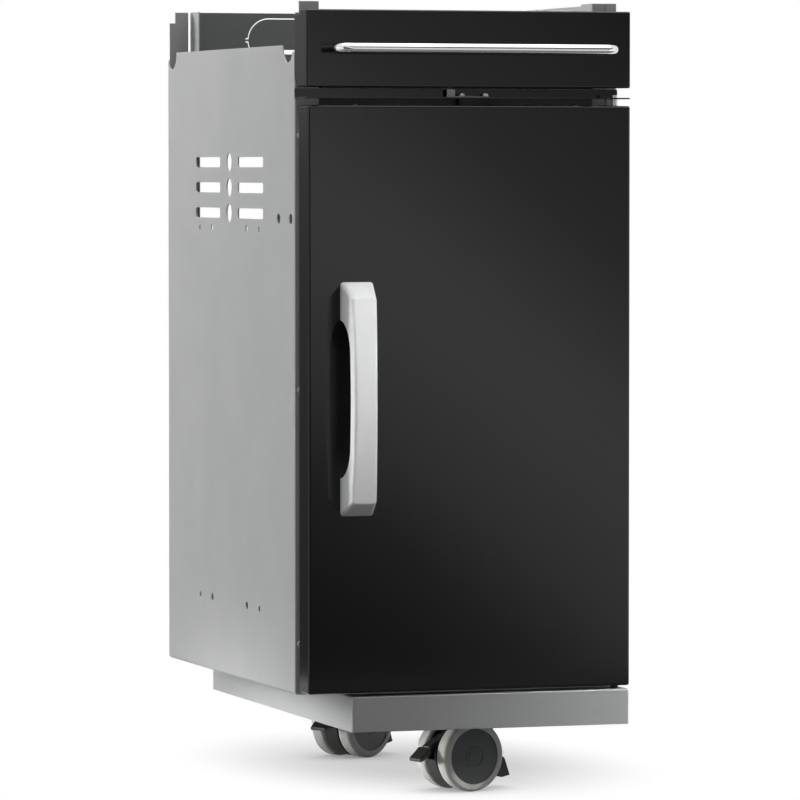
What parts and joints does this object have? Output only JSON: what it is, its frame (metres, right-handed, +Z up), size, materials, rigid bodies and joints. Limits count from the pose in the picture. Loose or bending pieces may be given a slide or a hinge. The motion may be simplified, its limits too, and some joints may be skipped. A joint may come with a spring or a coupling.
{
  "type": "grill cabinet module",
  "caption": "Narrow sheet-metal grill cabinet with an open top, a pivot-hung black door with a bow handle, a towel rail on its fascia, vented bolt-up side and braked casters.",
  "frame": {"origin": "on the floor, under the middle of the overall box", "axes": "+Z up, -Y towards the door and handle, -X towards the vented side panel"},
  "size_m": [0.357, 0.5782, 0.833],
  "materials": {
    "silver_paint": "sprayed silver metallic paint, fine satin sparkle",
    "galvanised_sheet": "zinc-coated sheet, dull",
    "dark_paint": "dark grey powder coat, matt",
    "black_enamel": "gloss black enamel",
    "zinc_fasteners": "bright zinc",
    "chromed_bar": "polished chrome",
    "satin_casting": "die-cast, satin plated",
    "black_nylon": "moulded",
    "wheel_disc": "moulded",
    "grey_tread": "matt, moulded",
    "black_rubber": "matt",
    "ferrite": "sintered, dull"
  },
  "bodies": {
    "cabinet": {"left_side_panel": "silver_paint", "right_side_panel": "silver_paint", "front_left_post": "silver_paint", "front_right_post": "silver_paint", "rear_left_post": "silver_paint", "rear_right_post": "silver_paint", "plinth": "silver_paint", "floor_panel": "galvanised_sheet", "catch_bracket": "galvanised_sheet", "front_caster_plate": "galvanised_sheet", "rear_caster_plate": "galvanised_sheet", "rear_panel": "dark_paint", "rear_top_rail": "dark_paint", "front_cross_rail": "dark_paint", "fascia": "black_enamel", "hinge_plate": "black_enamel", "carcass_rivets": "zinc_fasteners", "caster_bolts": "zinc_fasteners", "caster_nuts": "zinc_fasteners", "fascia_screws": "zinc_fasteners", "towel_rail_screws": "zinc_fasteners", "catch_screws": "zinc_fasteners", "upper_hinge_pin": "zinc_fasteners", "lower_hinge_pin": "zinc_fasteners", "front_caster_kingpin": "zinc_fasteners", "rear_caster_kingpin": "zinc_fasteners", "towel_rail": "chromed_bar", "hinge_spacer": "black_nylon", "catch_housing": "black_nylon", "catch_magnet": "ferrite"},
    "door": {"door_skin": "black_enamel", "door_liner": "dark_paint", "door_upper_bush": "black_nylon", "door_lower_bush": "black_nylon", "door_buffers": "black_rubber", "strike_plate": "galvanised_sheet", "door_handle": "satin_casting", "handle_screws": "zinc_fasteners"},
    "front_caster": {"front_caster_fork": "black_nylon", "front_caster_axle": "zinc_fasteners", "front_pedal_pin": "zinc_fasteners"},
    "front_fore_wheel": {"front_fore_wheel_core": "wheel_disc", "front_fore_wheel_tread": "grey_tread"},
    "front_aft_wheel": {"front_aft_wheel_core": "wheel_disc", "front_aft_wheel_tread": "grey_tread"},
    "front_pedal": {"front_brake_pedal": "black_nylon"},
    "rear_caster": {"rear_caster_fork": "black_nylon", "rear_caster_axle": "zinc_fasteners", "rear_pedal_pin": "zinc_fasteners"},
    "rear_fore_wheel": {"rear_fore_wheel_core": "wheel_disc", "rear_fore_wheel_tread": "grey_tread"},
    "rear_aft_wheel": {"rear_aft_wheel_core": "wheel_disc", "rear_aft_wheel_tread": "grey_tread"},
    "rear_pedal": {"rear_brake_pedal": "black_nylon"}
  },
  "joints": [
    {"name": "door_hinge", "type": "hinge", "parent": "cabinet", "child": "door", "pos_m": [0.1665, -0.2216, 0.42], "axis": [0, 0, 1], "range_deg": [0, 110]},
    {"name": "front_swivel", "type": "hinge", "parent": "cabinet", "child": "front_caster", "pos_m": [0.031, -0.1546, 0.095], "axis": [0, 0, 1], "continuous": true},
    {"name": "front_fore_wheel_roll", "type": "hinge", "parent": "front_caster", "child": "front_fore_wheel", "pos_m": [0.01551, -0.15861, 0.0375], "axis": [-0.2504, 0.9681, 0], "continuous": true},
    {"name": "front_aft_wheel_roll", "type": "hinge", "parent": "front_caster", "child": "front_aft_wheel", "pos_m": [0.01551, -0.15861, 0.0375], "axis": [-0.2504, 0.9681, 0], "continuous": true},
    {"name": "front_pedal_press", "type": "hinge", "parent": "front_caster", "child": "front_pedal", "pos_m": [-0.00579, -0.16411, 0.056], "axis": [0.2504, -0.9681, 0], "range_deg": [0, 12]},
    {"name": "rear_swivel", "type": "hinge", "parent": "cabinet", "child": "rear_caster", "pos_m": [0.024, 0.2099, 0.095], "axis": [0, 0, 1], "continuous": true},
    {"name": "rear_fore_wheel_roll", "type": "hinge", "parent": "rear_caster", "child": "rear_fore_wheel", "pos_m": [0.01014, 0.2019, 0.0375], "axis": [-0.5, 0.866, 0], "continuous": true},
    {"name": "rear_aft_wheel_roll", "type": "hinge", "parent": "rear_caster", "child": "rear_aft_wheel", "pos_m": [0.01014, 0.2019, 0.0375], "axis": [-0.5, 0.866, 0], "continuous": true},
    {"name": "rear_pedal_press", "type": "hinge", "parent": "rear_caster", "child": "rear_pedal", "pos_m": [-0.00891, 0.1909, 0.056], "axis": [0.5, -0.866, 0], "range_deg": [0, 12]}
  ]
}
